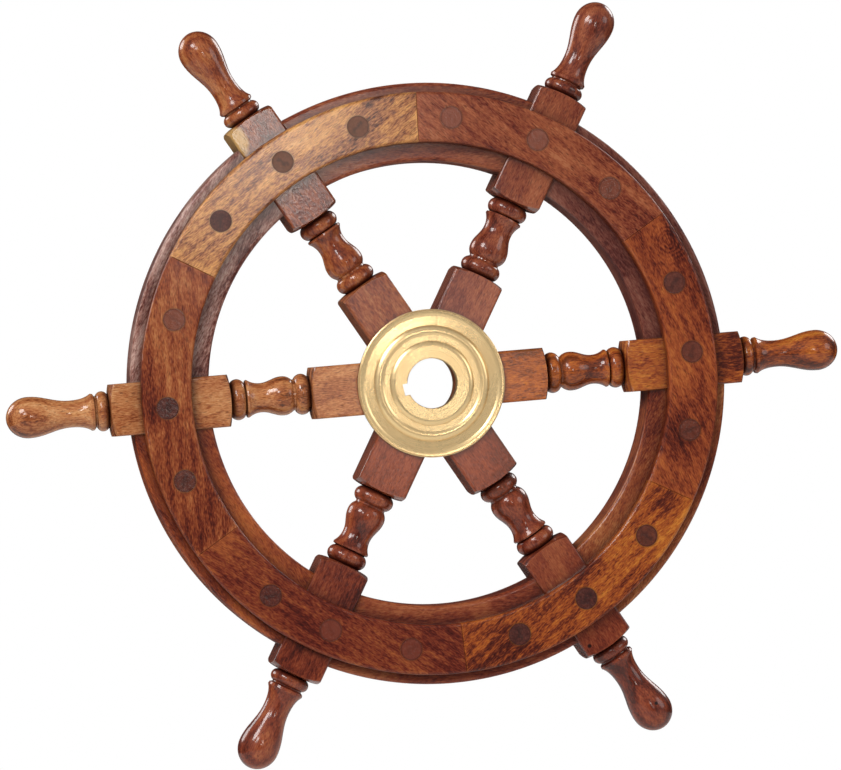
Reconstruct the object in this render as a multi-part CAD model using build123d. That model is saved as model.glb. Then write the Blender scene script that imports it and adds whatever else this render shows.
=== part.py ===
from build123d import *
import math
import os

# Ship's steering wheel: six turned spokes with handles, a laminated rim and a keyed brass hub.
# Millimetres. The shaft axis is Y and the front faces -Y. X runs along the first spoke, Z is up.
# The origin is on the shaft axis, in the middle of the spokes' thickness.
# Angles are in degrees, anticlockwise as seen from the front, from +X.

# ---- driving dimensions ----
tip_radius = 228.6              # axis to the end of a handle: an 18 inch wheel
spoke_count = 6
spoke_side = 28.0               # square blank that each spoke is turned from
spoke_arris_round = 1.2         # its long edges

rim_outer_radius = 162.4
rim_width = 42.4
spoke_proud_of_core = 2.0       # on each face
core_edge_round = 2.0
outer_step = 5.4                # core left showing outside the facings
inner_step = 10.0               # core left showing inside them
facing_rise = 7.5               # how far a facing stands off the core
facing_edge_round = 1.5
joint_groove = 0.45             # small V along each joint between two facings

peg_radius = 5.9
peg_clearance = 0.05
# Where the three pegs of each rim segment are drilled, from the middle of its spoke. They are
# marked out by eye, so they differ a little.
peg_angles = (
    (-15.0, 2.0, 17.5),
    (-17.5, 1.5, 21.0),
    (-18.5, -0.5, 18.0),
    (-18.5, 0.5, 16.5),
    (-12.5, 2.5, 20.5),
    (-15.5, 1.0, 20.0),
)
# How far each facing joint lies from halfway between its two spokes.
joint_drift = (1.3, -1.6, -0.5, 1.2, 2.0, 1.2)

hub_radius = 40.0
shaft_bore_radius = 13.5
keyway_width = 6.35
keyway_depth = 2.4
keyway_angle = 189.0
wood_bore_radius = 16.5         # clears the shaft and its key
boss_radius = 19.9              # raised flat around the bore
boss_height = 4.9               # heights are from the wood
boss_shoulder = 3.0             # width of the rounded fall from the boss
bore_chamfer = 0.4
inner_hollow_width = 3.1
inner_hollow_height = 3.5
ring_width = 5.4                # low rounded ring between the two hollows
ring_crest = 2.4                # inwards edge of the ring to its highest line
ring_height = 4.1
outer_hollow_height = 2.4
outer_hollow_fall = 0.3         # towards the lip
lip_width = 3.8                 # raised lip around the plate
lip_height = 2.8
back_plate_radius = 36.0
back_plate_thickness = 3.0
plate_edge_round = 0.8

screw_circle_radius = 28.0
screw_radius = 2.0
screw_head_radius = 4.0
screw_head_depth = 2.2
screw_slot_width = 0.9
screw_slot_depth = 0.9
screw_clearance = 0.05          # in the brass
stud_radius = 4.0               # tapped studs on the back of the front plate
stud_length = 9.0
thread_depth = 7.5
thread_end_gap = 0.5
wood_hole_clearance = 0.1

# ---- turned shape of a spoke ----
block_beyond_hub = 24.0         # square part left showing outside the brass
block_inside_core = 11.4        # square part left showing each side of the rim
block_outside_core = 10.4
shoulder_radius = 22.0          # rounded end of every square part
groove_radius = 8.4
bead_radius = 11.1
bead_length = 8.2
belly_radius = 10.6
waist_radius = 7.9
vase_lip_radius = 10.25
vase_lip_width = 0.9
turned_lip_gap = 0.5
belly_place = 0.22              # share of the vase's length, from its hub end
waist_place = 0.71
handle_bead_radius = 10.8
handle_bead_length = 6.7
grip_lip_radius = 10.0
grip_lip_width = 1.3
grip_waist_radius = 7.25
bulb_radius = 11.1
bulb_end_length = 12.0          # widest point of the bulb to the end of the handle
bulb_taper_length = 22.6        # narrowest point of the grip to the widest of the bulb

# ---- derived sizes ----
spoke_pitch = 360.0 / spoke_count
half_side = spoke_side / 2
half_core = half_side - spoke_proud_of_core
facing_face = half_core + facing_rise
rim_inner_radius = rim_outer_radius - rim_width
facing_outer_radius = rim_outer_radius - outer_step
facing_inner_radius = rim_inner_radius + inner_step
facing_width = facing_outer_radius - facing_inner_radius
peg_circle_radius = (facing_outer_radius + facing_inner_radius) / 2
stud_end = half_side - stud_length
thread_end = stud_end + thread_depth
back_plate_face = half_side + back_plate_thickness
reach = 2 * tip_radius          # longer than anything on the wheel
overcut = 0.5                   # how far a cutting shape runs past what it cuts


def at_angle(shape, angle):
    """Turn a shape about the shaft axis, anticlockwise as seen from the front."""
    return Rot(0, -angle, 0) * shape


def on_circle(shape, circle_radius, angle):
    return at_angle(Pos(circle_radius, 0, 0) * shape, angle)


def cylinder_between(radius, front, back):
    """A cylinder about the shaft axis between two depths."""
    return Pos(0, (front + back) / 2, 0) * Rot(90, 0, 0) * Cylinder(radius, back - front)


def ring_sector(section, start_angle, end_angle):
    """The part of a ring between two angles, from its cross-section."""
    sector = revolve(section, axis=Axis.Y, revolution_arc=end_angle - start_angle)
    return at_angle(sector, end_angle)


def blank_bar(inner, outer, angle):
    """The space that a spoke's square blank fills between two radii."""
    section = Plane.YZ * RectangleRounded(spoke_side, spoke_side, spoke_arris_round)
    return on_circle(extrude(section, amount=outer - inner), inner, angle)


def single(shape):
    """The one solid of a shape."""
    solids = shape.solids()
    if len(solids) != 1:
        raise ValueError(f"expected one solid, found {len(solids)}")
    return solids[0]


def peg_places(index):
    middle = index * spoke_pitch
    return [middle + offset for offset in peg_angles[index % len(peg_angles)]]


def peg_holes(index):
    hole = cylinder_between(peg_radius + peg_clearance, -2 * facing_face, 2 * facing_face)
    return [on_circle(hole, peg_circle_radius, angle) for angle in peg_places(index)]


# ---- spokes ----
def shoulder(block_end, outward):
    """Three points of the rounded end of a square part, from its groove to its corners.

    block_end is where the middle of each flat ends; outward is 1 towards the handle, or -1.
    """
    corner_height = half_side * math.sqrt(2) + overcut

    def setback(height):
        return shoulder_radius - math.sqrt(shoulder_radius ** 2 - (height - groove_radius) ** 2)

    groove_place = block_end + outward * setback(half_side)
    heights = (groove_radius, (groove_radius + corner_height) / 2, corner_height)
    return [(groove_place - outward * setback(height), height) for height in heights]


def bead(start, end, radius):
    top = ((start[0] + end[0]) / 2, radius)
    return ThreePointArc(start, top, end)


def vase_outline(start, end):
    """From a groove to the next bead: belly, waist, and a thin lip before the bead."""
    lip_end = (end[0] - turned_lip_gap, vase_lip_radius - turned_lip_gap / 2)
    lip_start = (lip_end[0] - vase_lip_width, vase_lip_radius)
    neck = (start[0] + vase_lip_width, groove_radius)
    length = lip_start[0] - neck[0]
    belly = (neck[0] + belly_place * length, belly_radius)
    waist = (neck[0] + waist_place * length, waist_radius)
    return [
        Line(start, neck),
        Spline(neck, belly, tangents=[(1, 1), (1, 0)]),
        Spline(belly, waist, tangents=[(1, 0), (1, 0)]),
        Spline(waist, lip_start, tangents=[(1, 0), (1, 0.7)]),
        Line(lip_start, lip_end),
        Line(lip_end, end),
    ]


def handle_outline(start):
    """From the outer groove to the end of the handle: bead, lip, grip and bulb."""
    bead_end = (start[0] + handle_bead_length, groove_radius)
    gap_end = (bead_end[0] + turned_lip_gap, groove_radius)
    lip_start = (gap_end[0] + vase_lip_width, grip_lip_radius - turned_lip_gap / 2)
    lip_end = (lip_start[0] + grip_lip_width, grip_lip_radius)
    bulb = (tip_radius - bulb_end_length, bulb_radius)
    waist = (bulb[0] - bulb_taper_length, grip_waist_radius)
    tip = (tip_radius, 0)
    return [
        bead(start, bead_end, handle_bead_radius),
        Line(bead_end, gap_end),
        Line(gap_end, lip_start),
        Line(lip_start, lip_end),
        Spline(lip_end, waist, tangents=[(1, -0.8), (1, 0)]),
        Spline(waist, bulb, tangents=[(1, 0), (1, 0)]),
        EllipticalCenterArc((bulb[0], 0), bulb_end_length, bulb_radius, arc_size=90),
        Line(tip, (0, 0)),
    ]


def spoke_section():
    """Half section of a whole spoke: distance from the shaft axis by turned radius."""
    hub_shoulder = shoulder(hub_radius + block_beyond_hub, 1)
    inner_shoulder = shoulder(rim_inner_radius - block_inside_core, -1)
    outer_shoulder = shoulder(rim_outer_radius + block_outside_core, 1)
    first_bead_end = (hub_shoulder[0][0] + bead_length, groove_radius)
    second_bead_start = (inner_shoulder[0][0] - bead_length, groove_radius)
    root = (0, hub_shoulder[2][1])
    edges = [
        Line((0, 0), root),
        Line(root, hub_shoulder[2]),
        ThreePointArc(*reversed(hub_shoulder)),
        bead(hub_shoulder[0], first_bead_end, bead_radius),
        *vase_outline(first_bead_end, second_bead_start),
        bead(second_bead_start, inner_shoulder[0], bead_radius),
        ThreePointArc(*inner_shoulder),
        Line(inner_shoulder[2], outer_shoulder[2]),
        ThreePointArc(*reversed(outer_shoulder)),
        *handle_outline(outer_shoulder[0]),
    ]
    return make_face(edges)


def mitre_wedge():
    """The sector of the wheel that belongs to one spoke, so that neighbours meet face to face."""
    half_width = reach * math.tan(math.radians(spoke_pitch / 2))
    outline = Polyline((0, 0), (reach, -half_width), (reach, half_width), close=True)
    return extrude(Plane.XZ * make_face(outline), amount=spoke_side, both=True)


def turned_spoke():
    """A spoke lying along +X, before its peg hole is drilled."""
    spoke = revolve(spoke_section(), axis=Axis.X) & blank_bar(0, reach, 0) & mitre_wedge()
    stud_hole = cylinder_between(
        stud_radius + wood_hole_clearance, -spoke_side, wood_hole_clearance - stud_end
    )
    screw_hole = cylinder_between(screw_radius + wood_hole_clearance, -spoke_side, spoke_side)
    spoke -= cylinder_between(wood_bore_radius, -spoke_side, spoke_side)
    return spoke - [Pos(screw_circle_radius, 0, 0) * hole for hole in (stud_hole, screw_hole)]


def make_spokes():
    pattern = turned_spoke()
    return [
        single(at_angle(pattern, index * spoke_pitch) - peg_holes(index))
        for index in range(spoke_count)
    ]


# ---- rim ----
def joint_angle(index):
    """Where the facing over one spoke meets the facing over the next."""
    return (index + 0.5) * spoke_pitch + joint_drift[index % len(joint_drift)]


def core_section():
    middle = (rim_outer_radius + rim_inner_radius) / 2
    return Pos(middle, 0) * RectangleRounded(rim_width, 2 * half_core, core_edge_round)


def make_felloe(index):
    """One core piece between two spokes, its ends cut flat to the spokes' sides."""
    first, second = index * spoke_pitch, (index + 1) * spoke_pitch
    felloe = ring_sector(core_section(), first, second)
    for angle in (first, second):
        felloe -= blank_bar(rim_inner_radius / 2, reach, angle)
    return single(felloe - peg_holes(index) - peg_holes((index + 1) % spoke_count))


def facing_section():
    """Section of a front facing, with its two show edges rounded."""
    middle = (facing_outer_radius + facing_inner_radius) / 2
    section = Pos(middle, -half_core - facing_rise / 2) * Rectangle(facing_width, facing_rise)
    return fillet(section.vertices().group_by(Axis.Y)[0], facing_edge_round)


def joint_cutter(angle):
    """A bar set on edge, which leaves a small V in the face along a joint."""
    bar = Box(2 * facing_width, joint_groove, joint_groove)
    in_face = Pos(0, -facing_face, 0) * Rot(45, 0, 0) * bar
    return on_circle(in_face, peg_circle_radius, angle)


def make_front_facing(index):
    """One face piece of the rim, housed over its spoke."""
    start, end = joint_angle(index - 1), joint_angle(index)
    facing = ring_sector(facing_section(), start, end)
    facing -= blank_bar(facing_inner_radius / 2, reach, index * spoke_pitch)
    facing -= [joint_cutter(start), joint_cutter(end)]
    return single(facing - peg_holes(index))


def make_pegs(index):
    peg = cylinder_between(peg_radius, -facing_face, facing_face)
    return [on_circle(peg, peg_circle_radius, angle) for angle in peg_places(index)]


# ---- hub ----
def front_plate_section():
    """Section of the turned front plate, as radius by depth: lip, hollow, ring, hollow, boss."""
    boss_foot = boss_radius + boss_shoulder
    ring_start = boss_foot + inner_hollow_width
    lip_foot = hub_radius - lip_width
    edge_foot = lip_height - plate_edge_round
    bore_top = boss_height - bore_chamfer

    def at(radius, height):
        return (radius, -half_side - height)

    back_corner = at(hub_radius, 0)
    edge = at(hub_radius, edge_foot)
    lip_top = at(hub_radius - plate_edge_round, lip_height)
    lip_end = at(lip_foot, outer_hollow_height - outer_hollow_fall)
    ring_end = at(ring_start + ring_width, outer_hollow_height)
    ring_top = at(ring_start + ring_crest, ring_height)
    ring_inner_end = at(ring_start, inner_hollow_height)
    shoulder_end = at(boss_foot, inner_hollow_height)
    boss_edge = at(boss_radius, boss_height)
    chamfer_edge = at(shaft_bore_radius + bore_chamfer, boss_height)
    bore_edge = at(shaft_bore_radius, bore_top)
    bore_end = at(shaft_bore_radius, 0)
    return make_face(
        [
            Line(bore_end, back_corner),
            Line(back_corner, edge),
            RadiusArc(edge, lip_top, -plate_edge_round),
            TangentArc(lip_top, lip_end, tangent=(-1, 0)),
            Line(lip_end, ring_end),
            ThreePointArc(ring_end, ring_top, ring_inner_end),
            Line(ring_inner_end, shoulder_end),
            TangentArc(boss_edge, shoulder_end, tangent=(1, 0)),
            Line(boss_edge, chamfer_edge),
            Line(chamfer_edge, bore_edge),
            Line(bore_edge, bore_end),
        ]
    )


def make_front_plate():
    plate = revolve(front_plate_section(), axis=Axis.Y)
    key_reach = shaft_bore_radius + keyway_depth
    keyway = Pos(key_reach / 2, 0, 0) * Box(key_reach, 2 * spoke_side, keyway_width)
    plate -= at_angle(keyway, keyway_angle)
    stud = cylinder_between(stud_radius, -half_side, -stud_end)
    thread = cylinder_between(screw_radius + screw_clearance, -thread_end, 0)
    for index in range(spoke_count):
        plate += on_circle(stud, screw_circle_radius, index * spoke_pitch)
    for index in range(spoke_count):
        plate -= on_circle(thread, screw_circle_radius, index * spoke_pitch)
    return single(plate)


def screw_shape(extra, front_end):
    """A screw's head and shank, larger by a clearance, about the shaft axis."""
    depth = screw_head_depth
    head = Rot(90, 0, 0) * Cone(screw_head_radius + extra, screw_radius + extra, depth)
    shank = cylinder_between(screw_radius + extra, front_end, back_plate_face - depth / 2)
    return Pos(0, back_plate_face - depth / 2, 0) * head + shank


def make_back_plate():
    width = back_plate_radius - wood_bore_radius
    middle = Pos((back_plate_radius + wood_bore_radius) / 2, half_side + back_plate_thickness / 2)
    plate = revolve(middle * Rectangle(width, back_plate_thickness), axis=Axis.Y)
    plate = fillet(plate.edges().group_by(Axis.Y)[-1], plate_edge_round)
    hole = screw_shape(screw_clearance, 0)
    for index in range(spoke_count):
        plate -= on_circle(hole, screw_circle_radius, index * spoke_pitch)
    return single(plate)


def make_screw(index):
    """Slotted countersunk screw, from the back plate into a tapped stud."""
    slot = Box(3 * screw_head_radius, 2 * screw_slot_depth, screw_slot_width)
    screw = screw_shape(0, thread_end_gap - thread_end) - Pos(0, back_plate_face, 0) * slot
    return single(on_circle(screw, screw_circle_radius, index * spoke_pitch))


# ---- assembly: one file per node ----
def build_nodes():
    nodes = {}
    for index, spoke in enumerate(make_spokes()):
        number = index + 1
        front = make_front_facing(index)
        nodes[f"spoke_{number}"] = spoke
        nodes[f"core_felloe_{number}"] = make_felloe(index)
        nodes[f"front_facing_{number}"] = front
        nodes[f"back_facing_{number}"] = mirror(front, about=Plane.XZ)
        nodes[f"rim_pegs_{number}"] = Compound(children=make_pegs(index))
    nodes["hub_front_plate"] = make_front_plate()
    nodes["hub_back_plate"] = make_back_plate()
    nodes["hub_screws"] = Compound(children=[make_screw(i) for i in range(spoke_count)])
    return nodes


os.makedirs("parts", exist_ok=True)
for name, shape in build_nodes().items():
    export_step(shape, f"parts/{name}.step")
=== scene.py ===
import bpy
import math
from mathutils import Matrix, Vector


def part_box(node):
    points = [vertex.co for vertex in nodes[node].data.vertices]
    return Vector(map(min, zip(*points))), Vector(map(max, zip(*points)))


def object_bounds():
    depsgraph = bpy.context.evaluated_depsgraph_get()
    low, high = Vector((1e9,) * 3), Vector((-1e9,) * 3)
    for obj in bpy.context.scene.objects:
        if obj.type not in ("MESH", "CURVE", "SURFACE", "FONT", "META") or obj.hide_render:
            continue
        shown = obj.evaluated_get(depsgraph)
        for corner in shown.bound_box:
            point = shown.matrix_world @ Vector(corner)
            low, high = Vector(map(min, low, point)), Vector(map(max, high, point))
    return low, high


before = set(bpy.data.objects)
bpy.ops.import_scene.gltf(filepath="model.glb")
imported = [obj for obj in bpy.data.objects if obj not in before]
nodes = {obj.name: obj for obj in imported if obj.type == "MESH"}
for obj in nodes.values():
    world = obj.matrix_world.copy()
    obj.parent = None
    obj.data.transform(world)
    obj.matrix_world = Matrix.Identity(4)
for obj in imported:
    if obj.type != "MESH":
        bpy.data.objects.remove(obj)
cad_box = [list(corner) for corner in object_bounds()]

SPOKE_COUNT = 6
SPOKE_PITCH = math.radians(360 / SPOKE_COUNT)
hub_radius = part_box("hub_front_plate")[1].x
wheel_radius = cad_box[1][0]
# a rim peg's radius, in metres like every length here
PEG_RADIUS = 0.0059


# ---------- colour and node helpers ----------
def srgb(red, green, blue):
    """A linear colour with alpha from display values of 0 to 255."""
    def linear(value):
        share = value / 255
        return share / 12.92 if share <= 0.04045 else ((share + 0.055) / 1.055) ** 2.4
    return (linear(red), linear(green), linear(blue), 1.0)


class Nodes:
    """Short calls that add nodes to one material's tree and join them up."""

    def __init__(self, name):
        self.material = bpy.data.materials.new(name)
        self.material.use_nodes = True
        self.tree = self.material.node_tree
        self.shader = self.tree.nodes["Principled BSDF"]

    def add(self, kind, settings=None, **inputs):
        node = self.tree.nodes.new(kind)
        for key, value in (settings or {}).items():
            setattr(node, key, value)
        for key, value in inputs.items():
            self.put(node.inputs[key.replace("_", " ")], value)
        return node

    def put(self, socket, value):
        if isinstance(value, bpy.types.NodeSocket):
            self.tree.links.new(value, socket)
        else:
            socket.default_value = value

    def math(self, operation, first, second=0.0, third=None):
        node = self.add("ShaderNodeMath", {"operation": operation})
        self.put(node.inputs[0], first)
        self.put(node.inputs[1], second)
        if third is not None:
            self.put(node.inputs[2], third)
        return node.outputs[0]

    def mix(self, factor, first, second, blend="MIX"):
        # a colour mix has its two colours in sockets 6 and 7, and its result in output 2
        node = self.add("ShaderNodeMix", {"data_type": "RGBA", "blend_type": blend})
        self.put(node.inputs[0], factor)
        self.put(node.inputs[6], first)
        self.put(node.inputs[7], second)
        return node.outputs[2]

    def range(self, value, low, high, out_low=0.0, out_high=1.0):
        node = self.add("ShaderNodeMapRange", {"clamp": True})
        for socket, number in zip(node.inputs, (value, low, high, out_low, out_high)):
            self.put(socket, number)
        return node.outputs[0]

    def vector_math(self, operation, vector, other=(0.0, 0.0, 0.0), result="Vector"):
        node = self.add("ShaderNodeVectorMath", {"operation": operation})
        self.put(node.inputs[0], vector)
        self.put(node.inputs[1], other)
        return node.outputs[result]

    def scaled(self, vector, *factors):
        return self.vector_math("MULTIPLY", vector, factors)

    def moved(self, vector, *step):
        return self.vector_math("ADD", vector, step)

    def turned(self, vector, angle):
        """The vector turned about the wheel's axis."""
        return self.add("ShaderNodeMapping", {"vector_type": "POINT"}, Vector=vector,
                        Rotation=(0.0, angle, 0.0)).outputs[0]

    def length(self, vector):
        return self.vector_math("LENGTH", vector, result="Value")

    def distance_to(self, vector, point):
        return self.vector_math("DISTANCE", vector, point, result="Value")

    def ramp(self, value, stops):
        node = self.add("ShaderNodeValToRGB", Fac=value)
        elements = node.color_ramp.elements
        while len(elements) < len(stops):
            elements.new(1.0)
        for element, (position, colour) in zip(elements, stops):
            element.position, element.color = position, colour
        return node.outputs[0]

    def noise(self, vector, scale, detail=2.0, roughness=0.5, distortion=0.0):
        node = self.add("ShaderNodeTexNoise", Vector=vector, Scale=scale, Detail=detail,
                        Roughness=roughness, Distortion=distortion)
        return node.outputs["Fac"]

    def streaks(self, board, stretch, scale, detail=2.0, roughness=0.5, distortion=0.0):
        """Noise drawn out along a board: stretch is its scale along over its scale across."""
        drawn_out = self.scaled(board, stretch, 1.0, 1.0)
        return self.noise(drawn_out, scale, detail, roughness, distortion)

    def wobble(self, vector, scale, detail, width):
        """Noise of up to half of width either way, in metres, that makes an outline uneven."""
        return self.math("MULTIPLY_ADD", self.noise(vector, scale, detail), width, -width / 2)

    def occlusion(self, distance, inside=False):
        node = self.add("ShaderNodeAmbientOcclusion", {"samples": 6, "inside": inside},
                        Distance=distance)
        return node.outputs["AO"]

    def bump(self, height, strength, distance):
        node = self.add("ShaderNodeBump", Height=height, Strength=strength, Distance=distance)
        return node.outputs["Normal"]


# ---------- wood ----------
# the stain at its darkest, also used as the painted shade in corners, and nail holes, splits and
# the darkest end grain
DEEP = srgb(52, 14, 9)
SOOT = srgb(30, 10, 8)
SAPWOOD = srgb(206, 164, 98)
PEG_DARK = srgb(66, 24, 18)
PEG_LIGHT = srgb(104, 50, 36)
# how strong a board's patches, mottle, fibres and growth rings are
BOARD_FIGURE = (1.3, 0.85, 1.2, 0.15)
SPOKE_FIGURE = (1.1, 0.9, 1.1, 0.3)
# the gap between a knot's rings, and how uneven a knot or a sap patch is in outline
KNOT_RING_GAP, OUTLINE_WOBBLE = 0.0021, 0.003
# the dark line round a peg, and where a peg's split fades out, across it and along it
PEG_LINE = 0.0009
SPLIT_WIDTH, SPLIT_LENGTH, SPLIT_WOBBLE = (0.0002, 0.0018), (0.0028, 0.0046), 0.0050
# the turned parts of a spoke are painted a little paler than its square ones, a painted sheen in
# place of their highlights
TURNED_RADIUS, TURNED_SHEEN = 0.0112, 0.08
# how far the stain and painted shade gather from a corner, and how far an edge is rubbed thin and
# given a painted highlight
CORNER_REACH, EDGE_REACH = 0.010, 0.0014
GRAIN_DEPTH, END_GRAIN_DEPTH, LACQUER_DEPTH = 0.00012, 0.0002, 0.0005


class Tones:
    """The stained colours of one board, from its darkest figure to its palest."""

    def __init__(self, *tones):
        self.dark, self.mid, self.light, self.pale = (srgb(*tone) for tone in tones)


def figure_of(n, board, weights):
    """A board's figure as a number about 0.5, high where it is pale, with two of its layers."""
    patches = n.streaks(board, 0.45, scale=38.0, roughness=0.45, distortion=0.8)
    mottle = n.streaks(board, 0.28, scale=360.0, detail=4.0, roughness=0.62, distortion=0.5)
    fibres = n.streaks(board, 0.26, scale=1500.0, roughness=0.6)
    rings = n.add("ShaderNodeTexWave",
                  {"wave_type": "RINGS", "rings_direction": "X", "wave_profile": "SIN"},
                  Vector=n.scaled(board, 0.2, 1.0, 1.0), Scale=62.0, Distortion=3.2, Detail=3.0,
                  Detail_Scale=0.3, Detail_Roughness=0.6).outputs["Fac"]
    total = 0.5 * (1 - sum(weights))
    for layer, weight in zip((patches, mottle, fibres, rings), weights):
        total = n.math("MULTIPLY_ADD", layer, weight, total)
    return total, patches, fibres


def with_knots(n, value, flat, wobble, knots):
    """The figure with each knot's rings and its darker heart."""
    for x, z, radius in knots:
        away = n.math("ADD", n.distance_to(flat, (x, 0.0, z)), wobble)
        ripple = n.math("SINE", n.math("MULTIPLY", away, 2 * math.pi / KNOT_RING_GAP))
        heart = n.range(away, 0.8 * radius, 1.25 * radius, 1.0, 0.0)
        halo = n.range(away, 0.9 * radius, 2.0 * radius, 1.0, 0.0)
        value = n.math("MULTIPLY_ADD", n.math("MULTIPLY", ripple, halo), 0.10, value)
        value = n.math("MULTIPLY_ADD", heart, -0.13, value)
    return value


def spoke_with_hub_lift_and_sheen(n, tone, tones, flat, square, hub_lift):
    """A spoke's colour, paler near the hub, and paler on its turned parts as a painted sheen."""
    near_hub = n.range(n.length(flat), 1.5 * hub_radius, 2.2 * hub_radius, hub_lift, 0.0)
    tone = n.mix(near_hub, tone, tones.pale, "ADD")
    from_grain = n.length(n.scaled(square, 0.0, 1.0, 1.0))
    # painted sheen: the turned parts lifted paler in place of their highlights
    turned = n.range(from_grain, TURNED_RADIUS, 1.2 * TURNED_RADIUS, TURNED_SHEEN, 0.0)
    return n.mix(turned, tone, tones.light, "ADD")


def with_sap_patch(n, tone, square, wobble, patch):
    along, across, radius = patch
    away = n.distance_to(n.scaled(square, 1.0, 0.0, 1.0), (along, 0.0, across))
    away = n.math("ADD", away, wobble)
    return n.mix(n.range(away, 0.9 * radius, 1.1 * radius, 0.75, 0.0), tone, SAPWOOD)


def with_stain_shade_wear_and_sheen(n, tone, tones, patches):
    """The colour with stain and painted shade gathered in the corners, and the edges paler from
    wear and a painted highlight.
    """
    # painted shade: corners darkened towards the darkest stain colour, partly stain and partly
    # shade
    corner_stain_and_shade = n.range(n.occlusion(CORNER_REACH), 0.30, 0.85, 0.92, 0.0)
    tone = n.mix(corner_stain_and_shade, tone, DEEP)
    # painted highlight: edges paled towards the palest tone, partly wear and partly a highlight
    edge_wear_and_sheen = n.range(n.occlusion(EDGE_REACH, inside=True), 0.45, 0.85, 0.55, 0.0)
    return n.mix(n.math("MULTIPLY", edge_wear_and_sheen, n.range(patches, 0.35, 0.6, 0.3, 1.0)), tone, tones.pale)


def lacquer(n, weight, roughness, lumps, peel):
    """A clear coat over dull wood. peel is how much its lumps show."""
    n.shader.inputs["Specular IOR Level"].default_value = 0.08
    n.shader.inputs["Coat Weight"].default_value = weight
    n.shader.inputs["Coat IOR"].default_value = 1.5
    n.shader.inputs["Coat Roughness"].default_value = roughness
    n.put(n.shader.inputs["Coat Normal"], n.bump(lumps, peel, LACQUER_DEPTH))


def wood(name, grain, tones, seed, weights=BOARD_FIGURE, bias=0.0, knots=(), pegs=(), marks=(),
         sap_patch=None, hub_lift=0.0, coat=0.4, coat_roughness=0.12, peel=0.12):
    """Lacquered, stained hardwood. grain is the angle of the grain in the wheel's plane.

    bias moves the figure to pale. knots are (x, z, radius), pegs are (x, z) and marks are
    (x, y, z, radius), all in metres. sap_patch is its place along the board, its place across it
    and its radius. hub_lift is how much paler a spoke is near the hub.
    """
    n = Nodes(name)
    place = n.add("ShaderNodeTexCoord").outputs["Object"]
    flat = n.scaled(place, 1.0, 0.0, 1.0)
    square = n.turned(place, grain)
    board = n.moved(square, 0.37 * seed, 0.045 + 0.013 * seed, 0.021 * (seed % 5) - 0.04)
    value, patches, fibres = figure_of(n, board, weights)
    value = n.math("ADD", value, bias)
    pores = n.range(n.streaks(board, 0.2, scale=1700.0, detail=1.0), 0.58, 0.72)
    wobble = n.wobble(place, 190.0, 3.0, OUTLINE_WOBBLE)
    value = with_knots(n, value, flat, wobble, knots)
    tone = n.ramp(value, ((0.0, DEEP), (0.25, tones.dark), (0.48, tones.mid),
                          (0.70, tones.light), (0.92, tones.pale)))
    if hub_lift:
        tone = spoke_with_hub_lift_and_sheen(n, tone, tones, flat, square, hub_lift)
    if sap_patch:
        tone = with_sap_patch(n, tone, square, wobble, sap_patch)
    tone = n.mix(n.math("MULTIPLY", pores, 0.55), tone, DEEP)
    for x, z in pegs:
        away = n.distance_to(flat, (x, 0.0, z))
        tone = n.mix(n.range(away, PEG_RADIUS, PEG_RADIUS + PEG_LINE, 0.8, 0.0), tone, DEEP)
    for x, y, z, radius in marks:
        away = n.distance_to(place, (x, y, z))
        tone = n.mix(n.range(away, 0.7 * radius, 1.2 * radius, 1.0, 0.0), tone, SOOT)
    # the colour here carries painted shade in the corners and a painted highlight on the edges
    n.put(n.shader.inputs["Base Color"], with_stain_shade_wear_and_sheen(n, tone, tones, patches))
    n.put(n.shader.inputs["Roughness"], n.range(fibres, 0.3, 0.7, 0.40, 0.58))
    height = n.math("MULTIPLY_ADD", fibres, 0.5, n.math("MULTIPLY", pores, -1.0))
    n.put(n.shader.inputs["Normal"], n.bump(height, 0.5, GRAIN_DEPTH))
    pits = n.streaks(board, 0.5, scale=1100.0, roughness=0.6)
    lumps = n.math("MULTIPLY_ADD", pits, 0.45, n.noise(place, 560.0, 3.0, 0.7))
    lacquer(n, coat, coat_roughness, lumps, peel)
    return n.material


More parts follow.
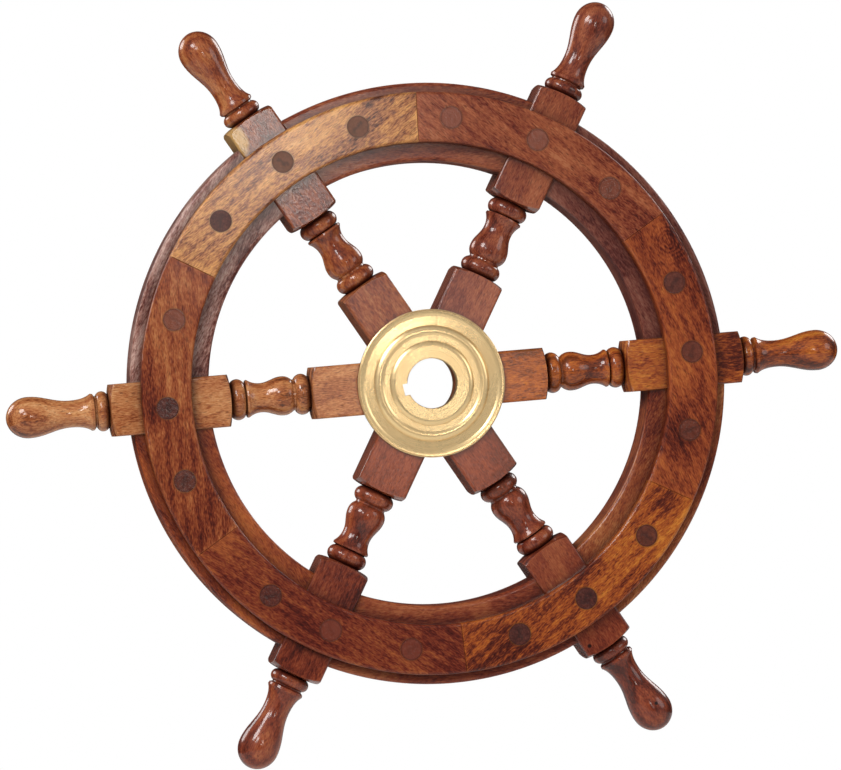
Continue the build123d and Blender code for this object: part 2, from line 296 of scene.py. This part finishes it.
def peg_wood(name, tones, pegs, strengths, turns):
    """End grain of a rim's three pegs: dark, speckled, and often split across."""
    n = Nodes(name)
    place = n.add("ShaderNodeTexCoord").outputs["Object"]
    flat = n.scaled(place, 1.0, 0.0, 1.0)
    speckle = n.noise(place, 1100.0, 3.0, 0.65)
    cloud = n.noise(place, 260.0, 3.0, 0.6)
    wobble = n.wobble(place, 420.0, 2.0, SPLIT_WOBBLE)
    grain = n.math("MULTIPLY_ADD", cloud, 0.8, n.math("MULTIPLY_ADD", speckle, 0.9, -0.35))
    end_grain = n.ramp(grain, ((0.15, SOOT), (0.45, PEG_DARK), (0.85, PEG_LIGHT)))
    tone = end_grain
    for (x, z), strength, turn in zip(pegs, strengths, turns):
        here = n.turned(n.moved(flat, -x, 0.0, -z), turn)
        parts = n.add("ShaderNodeSeparateXYZ", Vector=here).outputs
        away = n.distance_to(flat, (x, 0.0, z))
        own = n.mix(strength, tones.mid, end_grain)
        edge = n.range(away, 0.80 * PEG_RADIUS, PEG_RADIUS, 0.0, 0.6)
        own = n.mix(edge, own, DEEP)
        across = n.math("ABSOLUTE", n.math("ADD", parts["Z"], wobble))
        along = n.math("ABSOLUTE", parts["X"])
        split = n.math("MULTIPLY", n.range(across, *SPLIT_WIDTH, 1.0, 0.0),
                       n.range(along, *SPLIT_LENGTH, 1.0, 0.0))
        own = n.mix(n.math("MULTIPLY", split, 0.6 * strength), own, SOOT)
        mine = n.range(away, 1.2 * PEG_RADIUS, 1.3 * PEG_RADIUS, 1.0, 0.0)
        tone = n.mix(mine, tone, own)
    n.put(n.shader.inputs["Base Color"], tone)
    n.shader.inputs["Roughness"].default_value = 0.5
    n.put(n.shader.inputs["Normal"], n.bump(speckle, 0.5, END_GRAIN_DEPTH))
    lacquer(n, weight=0.6, roughness=0.18, lumps=n.noise(place, 620.0, 3.0, 0.65), peel=0.3)
    return n.material


# ---------- brass ----------
TARNISH = srgb(136, 88, 46)
# the depth of the turning lines, and how far tarnish gathers from a corner
TOOL_MARK_DEPTH, TARNISH_REACH = 0.00004, 0.004


def brass(name, colour, shade, roughness, tool_marks):
    """Turned and polished brass, clouded with shade and dulled a little in its grooves."""
    n = Nodes(name)
    place = n.add("ShaderNodeTexCoord").outputs["Object"]
    radius = n.length(n.scaled(place, 1.0, 0.0, 1.0))
    groove = n.add("ShaderNodeCombineXYZ", X=n.math("MULTIPLY", radius, 5200.0)).outputs[0]
    turning = n.noise(groove, 1.0, 2.0, 0.6)
    clouds = n.noise(place, 45.0, 4.0, 0.6)
    tone = n.mix(n.range(clouds, 0.3, 0.7, 0.0, 0.5), colour, shade)
    tone = n.mix(n.range(turning, 0.5, 0.8, 0.0, 0.3), tone, TARNISH)
    tone = n.mix(n.range(n.occlusion(TARNISH_REACH), 0.45, 0.9, 0.75, 0.0), tone, TARNISH)
    n.put(n.shader.inputs["Base Color"], tone)
    n.shader.inputs["Metallic"].default_value = 0.82
    n.put(n.shader.inputs["Roughness"],
          n.range(n.math("ADD", clouds, turning), 0.6, 1.4, roughness, roughness + 0.12))
    n.put(n.shader.inputs["Normal"], n.bump(turning, tool_marks, TOOL_MARK_DEPTH))
    return n.material


# ---------- each board's stain and marks ----------
ORANGE = Tones((98, 36, 20), (134, 61, 32), (154, 77, 38), (172, 95, 46))
RED = Tones((102, 40, 27), (132, 66, 42), (150, 82, 52), (164, 99, 66))
HONEY = Tones((136, 80, 50), (182, 122, 70), (206, 146, 84), (222, 168, 104))
BROWN = Tones((98, 36, 20), (134, 64, 34), (156, 88, 50), (176, 112, 66))
RUSSET = Tones((84, 26, 17), (114, 47, 28), (135, 67, 36), (158, 84, 42))
AMBER = Tones((92, 35, 20), (148, 70, 30), (172, 94, 36), (194, 120, 46))
TAN = Tones((132, 64, 30), (170, 104, 60), (188, 128, 80), (206, 152, 104))
UMBER = Tones((95, 35, 21), (124, 54, 32), (142, 72, 42), (158, 90, 54))
MAROON = Tones((78, 30, 25), (106, 54, 43), (122, 70, 56), (138, 88, 72))
# painted reflection: tones paled to pinkish grey for the glare of light in the lacquer
PAINTED_GLARE_TONES = Tones((92, 42, 34), (144, 98, 86), (176, 138, 126), (198, 166, 152))

# Every table here starts at spoke 1, which points along +X, and goes round anticlockwise.
# a facing's tones, its grain's lean from the chord in degrees, and its bias to pale
FACINGS = (
    (ORANGE, 22, -0.03), (RED, -14, -0.05), (HONEY, 4, -0.04),
    (BROWN, 0, -0.08), (RUSSET, -8, -0.02), (AMBER, 8, 0.0),
)
# where a knot or a swirl shows in a facing: distance from the axis, angle in degrees and radius
KNOTS = {1: (0.1506, 25.8, 0.0078), 2: (0.1436, 42.5, 0.0055), 6: (0.1407, -40.6, 0.0045)}
# how dark each facing's three pegs are, and how far their splits are turned in radians
PEGS = (
    ((0.75, 0.7, 0.85), (0.4, 1.5, 0.9)), ((0.45, 0.3, 0.25), (1.2, 0.3, 2.2)),
    ((0.85, 0.85, 1.0), (0.7, 2.6, 1.4)), ((0.45, 1.0, 0.9), (2.3, 1.5, 1.1)),
    ((0.9, 0.25, 0.3), (0.2, 1.9, 0.8)), ((1.0, 1.0, 0.85), (1.7, 0.6, 2.4)),
)
# the third felloe takes the tones with the painted reflection
FELLOES = (MAROON, RED, PAINTED_GLARE_TONES, ORANGE, UMBER, BROWN)
# a spoke's tones, its bias to pale, and how much paler it is near the hub
SPOKES = (
    (AMBER, -0.04, 0.20), (RED, -0.10, 0.06), (BROWN, 0.0, 0.01),
    (TAN, -0.08, 0.14), (UMBER, -0.10, 0.26), (UMBER, -0.16, 0.26),
)
# two nail holes in the sixth spoke: x, y, z and radius
NAIL_HOLES = {6: ((0.0744, -0.0140, -0.1492, 0.0011), (0.1092, -0.0111, -0.1837, 0.0012))}
# a pale patch on the third spoke: its place along the spoke, its place across it, and its radius
SAP_PATCHES = {3: (0.167, 0.0165, 0.010)}
# how lumpy the lacquer lies, and one spoke where it lies worse
FACING_PEEL, FELLOE_PEEL, SPOKE_PEEL = 0.05, 0.08, 0.07
LUMPY_SPOKES = {3: 0.11}


# ---------- dressing the CAD nodes ----------
def dress(node, material):
    mesh = nodes[node].data
    mesh.materials.clear()
    mesh.materials.append(material)


def peg_spots(node):
    """The centres (x, z) of the pegs of one node, in order of angle."""
    groups = []
    for vertex in nodes[node].data.vertices:
        spot = Vector((vertex.co.x, vertex.co.z))
        for group in groups:
            if (group[0] - spot).length < 2.4 * PEG_RADIUS:
                group.append(spot)
                break
        else:
            groups.append([spot])
    spots = []
    for group in groups:
        xs, zs = zip(*group)
        spots.append(((min(xs) + max(xs)) / 2, (min(zs) + max(zs)) / 2))
    middle = sum((Vector(spot) for spot in spots), Vector((0.0, 0.0)))
    return sorted(spots, key=lambda spot: Vector(spot).angle_signed(middle))


def knots_of(number):
    """The knots of one facing, as (x, z, radius)."""
    if number not in KNOTS:
        return ()
    distance, degrees, radius = KNOTS[number]
    turn = math.radians(degrees)
    return ((distance * math.cos(turn), distance * math.sin(turn), radius),)


def dress_rim(number, chord):
    """One spoke's facings and pegs, and the felloe after it. chord is the facing's own angle."""
    tones, lean, bias = FACINGS[number - 1]
    lean = math.radians(lean)
    pegs = peg_spots(f"rim_pegs_{number}")
    dress(f"front_facing_{number}",
          wood(f"facing_wood_{number}", chord + lean, tones, seed=number, bias=bias,
               knots=knots_of(number), pegs=pegs, peel=FACING_PEEL))
    dress(f"back_facing_{number}",
          wood(f"back_facing_wood_{number}", chord - lean, tones, seed=number + 11, bias=bias,
               pegs=pegs))
    dress(f"rim_pegs_{number}", peg_wood(f"peg_wood_{number}", tones, pegs, *PEGS[number - 1]))
    dress(f"core_felloe_{number}",
          wood(f"felloe_wood_{number}", chord + SPOKE_PITCH / 2, FELLOES[number - 1],
               seed=number + 23, coat_roughness=0.15, peel=FELLOE_PEEL))


def dress_spoke(number, along):
    tones, bias, hub_lift = SPOKES[number - 1]
    dress(f"spoke_{number}",
          wood(f"spoke_wood_{number}", along, tones, seed=number + 37, weights=SPOKE_FIGURE,
               bias=bias, marks=NAIL_HOLES.get(number, ()), sap_patch=SAP_PATCHES.get(number),
               hub_lift=hub_lift, coat=0.7, peel=LUMPY_SPOKES.get(number, SPOKE_PEEL)))


def dress_hub():
    hub_brass = brass("polished_brass", srgb(252, 220, 164), srgb(240, 204, 144), 0.22, 0.3)
    screw_brass = brass("screw_brass", srgb(206, 170, 104), srgb(176, 136, 72), 0.3, 0.4)
    dress("hub_front_plate", hub_brass)
    dress("hub_back_plate", hub_brass)
    dress("hub_screws", screw_brass)


# ---------- stage, light and camera ----------
# each disc light's place, diameter, watts and colour; they all face the hub
WHITE, WARM = (1.0, 1.0, 1.0), (1.0, 0.93, 0.86)
LIGHTS = {
    "key": ((-1.35, -1.45, 1.50), 0.9, 34, WHITE),
    "near": ((-1.00, -2.30, 1.10), 0.5, 11, WHITE),
    "hub_card": ((0.398, -2.60, -0.018), 0.30, 0.58, WHITE),
    "glare": ((0.205, -2.60, 0.310), 0.26, 3.4, WARM),
    "right": ((2.0, -1.3, 0.6), 1.2, 9, WHITE),
    "low": ((0.2, -1.5, -1.9), 0.8, 8, WHITE),
    "rear_left": ((-1.9, 1.5, 1.2), 1.2, 26, WHITE),
    "rear_right": ((1.9, 1.5, 1.2), 1.2, 26, WHITE),
}
# the dome's brightness by depth: dark round the camera, pale at the sides, dark behind the wheel
DOME = ((-0.985, 0.05), (-0.90, 0.42), (-0.55, 0.38), (0.0, 0.10), (0.3, 0.03))
FLOOR_REACH, FLOOR_DROP = 4.4 * wheel_radius, 1.75 * wheel_radius
# the view: from a little left of the wheel's axis, with the wheel turned anticlockwise
YAW, PITCH, ROLL = math.radians(8.7), math.radians(-0.3), math.radians(4.9)
DISTANCE, SENSOR_WIDTH, LENS = 2.5, 36, 197.42
SHIFT_X, SHIFT_Y = -0.0078, -0.0019


def make_floor():
    corners = [(x * FLOOR_REACH, y * FLOOR_REACH, -FLOOR_DROP)
               for x, y in ((-1, -1), (1, -1), (1, 1), (-1, 1))]
    mesh = bpy.data.meshes.new("floor")
    mesh.from_pydata(corners, [], [(0, 1, 2, 3)])
    floor = bpy.data.objects.new("floor", mesh)
    bpy.context.scene.collection.objects.link(floor)
    n = Nodes("floor_paint")
    place = n.add("ShaderNodeTexCoord").outputs["Object"]
    n.put(n.shader.inputs["Base Color"],
          n.mix(n.noise(place, 3.0, 3.0), srgb(236, 236, 234), srgb(228, 228, 226)))
    n.shader.inputs["Roughness"].default_value = 0.7
    mesh.materials.append(n.material)


def make_world():
    """White behind the object, and a pale dome in front of it that fades to dark behind it."""
    world = bpy.data.worlds.new("studio")
    world.use_nodes = True
    tree = world.node_tree
    background = tree.nodes["Background"]
    background.inputs["Color"].default_value = (1, 1, 1, 1)
    direction = tree.nodes.new("ShaderNodeTexCoord")
    parts = tree.nodes.new("ShaderNodeSeparateXYZ")
    tree.links.new(direction.outputs["Generated"], parts.inputs[0])
    dome = tree.nodes.new("ShaderNodeValToRGB")
    elements = dome.color_ramp.elements
    while len(elements) < len(DOME):
        elements.new(1.0)
    for element, (depth, brightness) in zip(elements, DOME):
        element.position = (depth + 1) / 2
        element.color = (brightness, brightness, brightness, 1)
    share = tree.nodes.new("ShaderNodeMath")
    share.operation = "MULTIPLY_ADD"
    share.inputs[1].default_value, share.inputs[2].default_value = 0.5, 0.5
    tree.links.new(parts.outputs["Y"], share.inputs[0])
    tree.links.new(share.outputs[0], dome.inputs["Fac"])
    path = tree.nodes.new("ShaderNodeLightPath")
    strength = tree.nodes.new("ShaderNodeMapRange")
    strength.inputs["To Max"].default_value = 1.0
    tree.links.new(dome.outputs[0], strength.inputs["To Min"])
    tree.links.new(path.outputs["Is Camera Ray"], strength.inputs["Value"])
    tree.links.new(strength.outputs[0], background.inputs["Strength"])
    bpy.context.scene.world = world


def make_light(name, place, diameter, watts, colour):
    data = bpy.data.lights.new(name, "AREA")
    data.shape, data.size, data.energy, data.color = "DISK", diameter, watts, colour
    light = bpy.data.objects.new(name, data)
    light.location = place
    light.visible_camera = False
    light.rotation_euler = (-Vector(place)).to_track_quat("-Z", "Y").to_euler()
    bpy.context.scene.collection.objects.link(light)


def make_camera():
    data = bpy.data.cameras.new("camera")
    data.sensor_width, data.lens = SENSOR_WIDTH, LENS
    data.shift_x, data.shift_y = SHIFT_X, SHIFT_Y
    camera = bpy.data.objects.new("camera", data)
    bpy.context.scene.collection.objects.link(camera)
    right = Vector((math.cos(ROLL), 0, -math.sin(ROLL)))
    up = Vector((math.sin(ROLL), 0, math.cos(ROLL)))
    ahead = Vector((0, 1, 0))
    spot = DISTANCE * (-math.sin(YAW) * math.cos(PITCH) * right
                       - math.cos(YAW) * math.cos(PITCH) * ahead + math.sin(PITCH) * up)
    look = -spot.normalized()
    side = look.cross(up).normalized()
    camera.matrix_world = Matrix.Translation(spot) @ Matrix(
        (side, side.cross(look), -look)).transposed().to_4x4()
    bpy.context.scene.camera = camera


for index in range(SPOKE_COUNT):
    along = index * SPOKE_PITCH
    dress_rim(index + 1, along + math.pi / 2)
    dress_spoke(index + 1, along)
dress_hub()
make_floor()
make_world()
for name, light in LIGHTS.items():
    make_light(name, *light)
make_camera()
bpy.context.scene.view_settings.view_transform = "Standard"
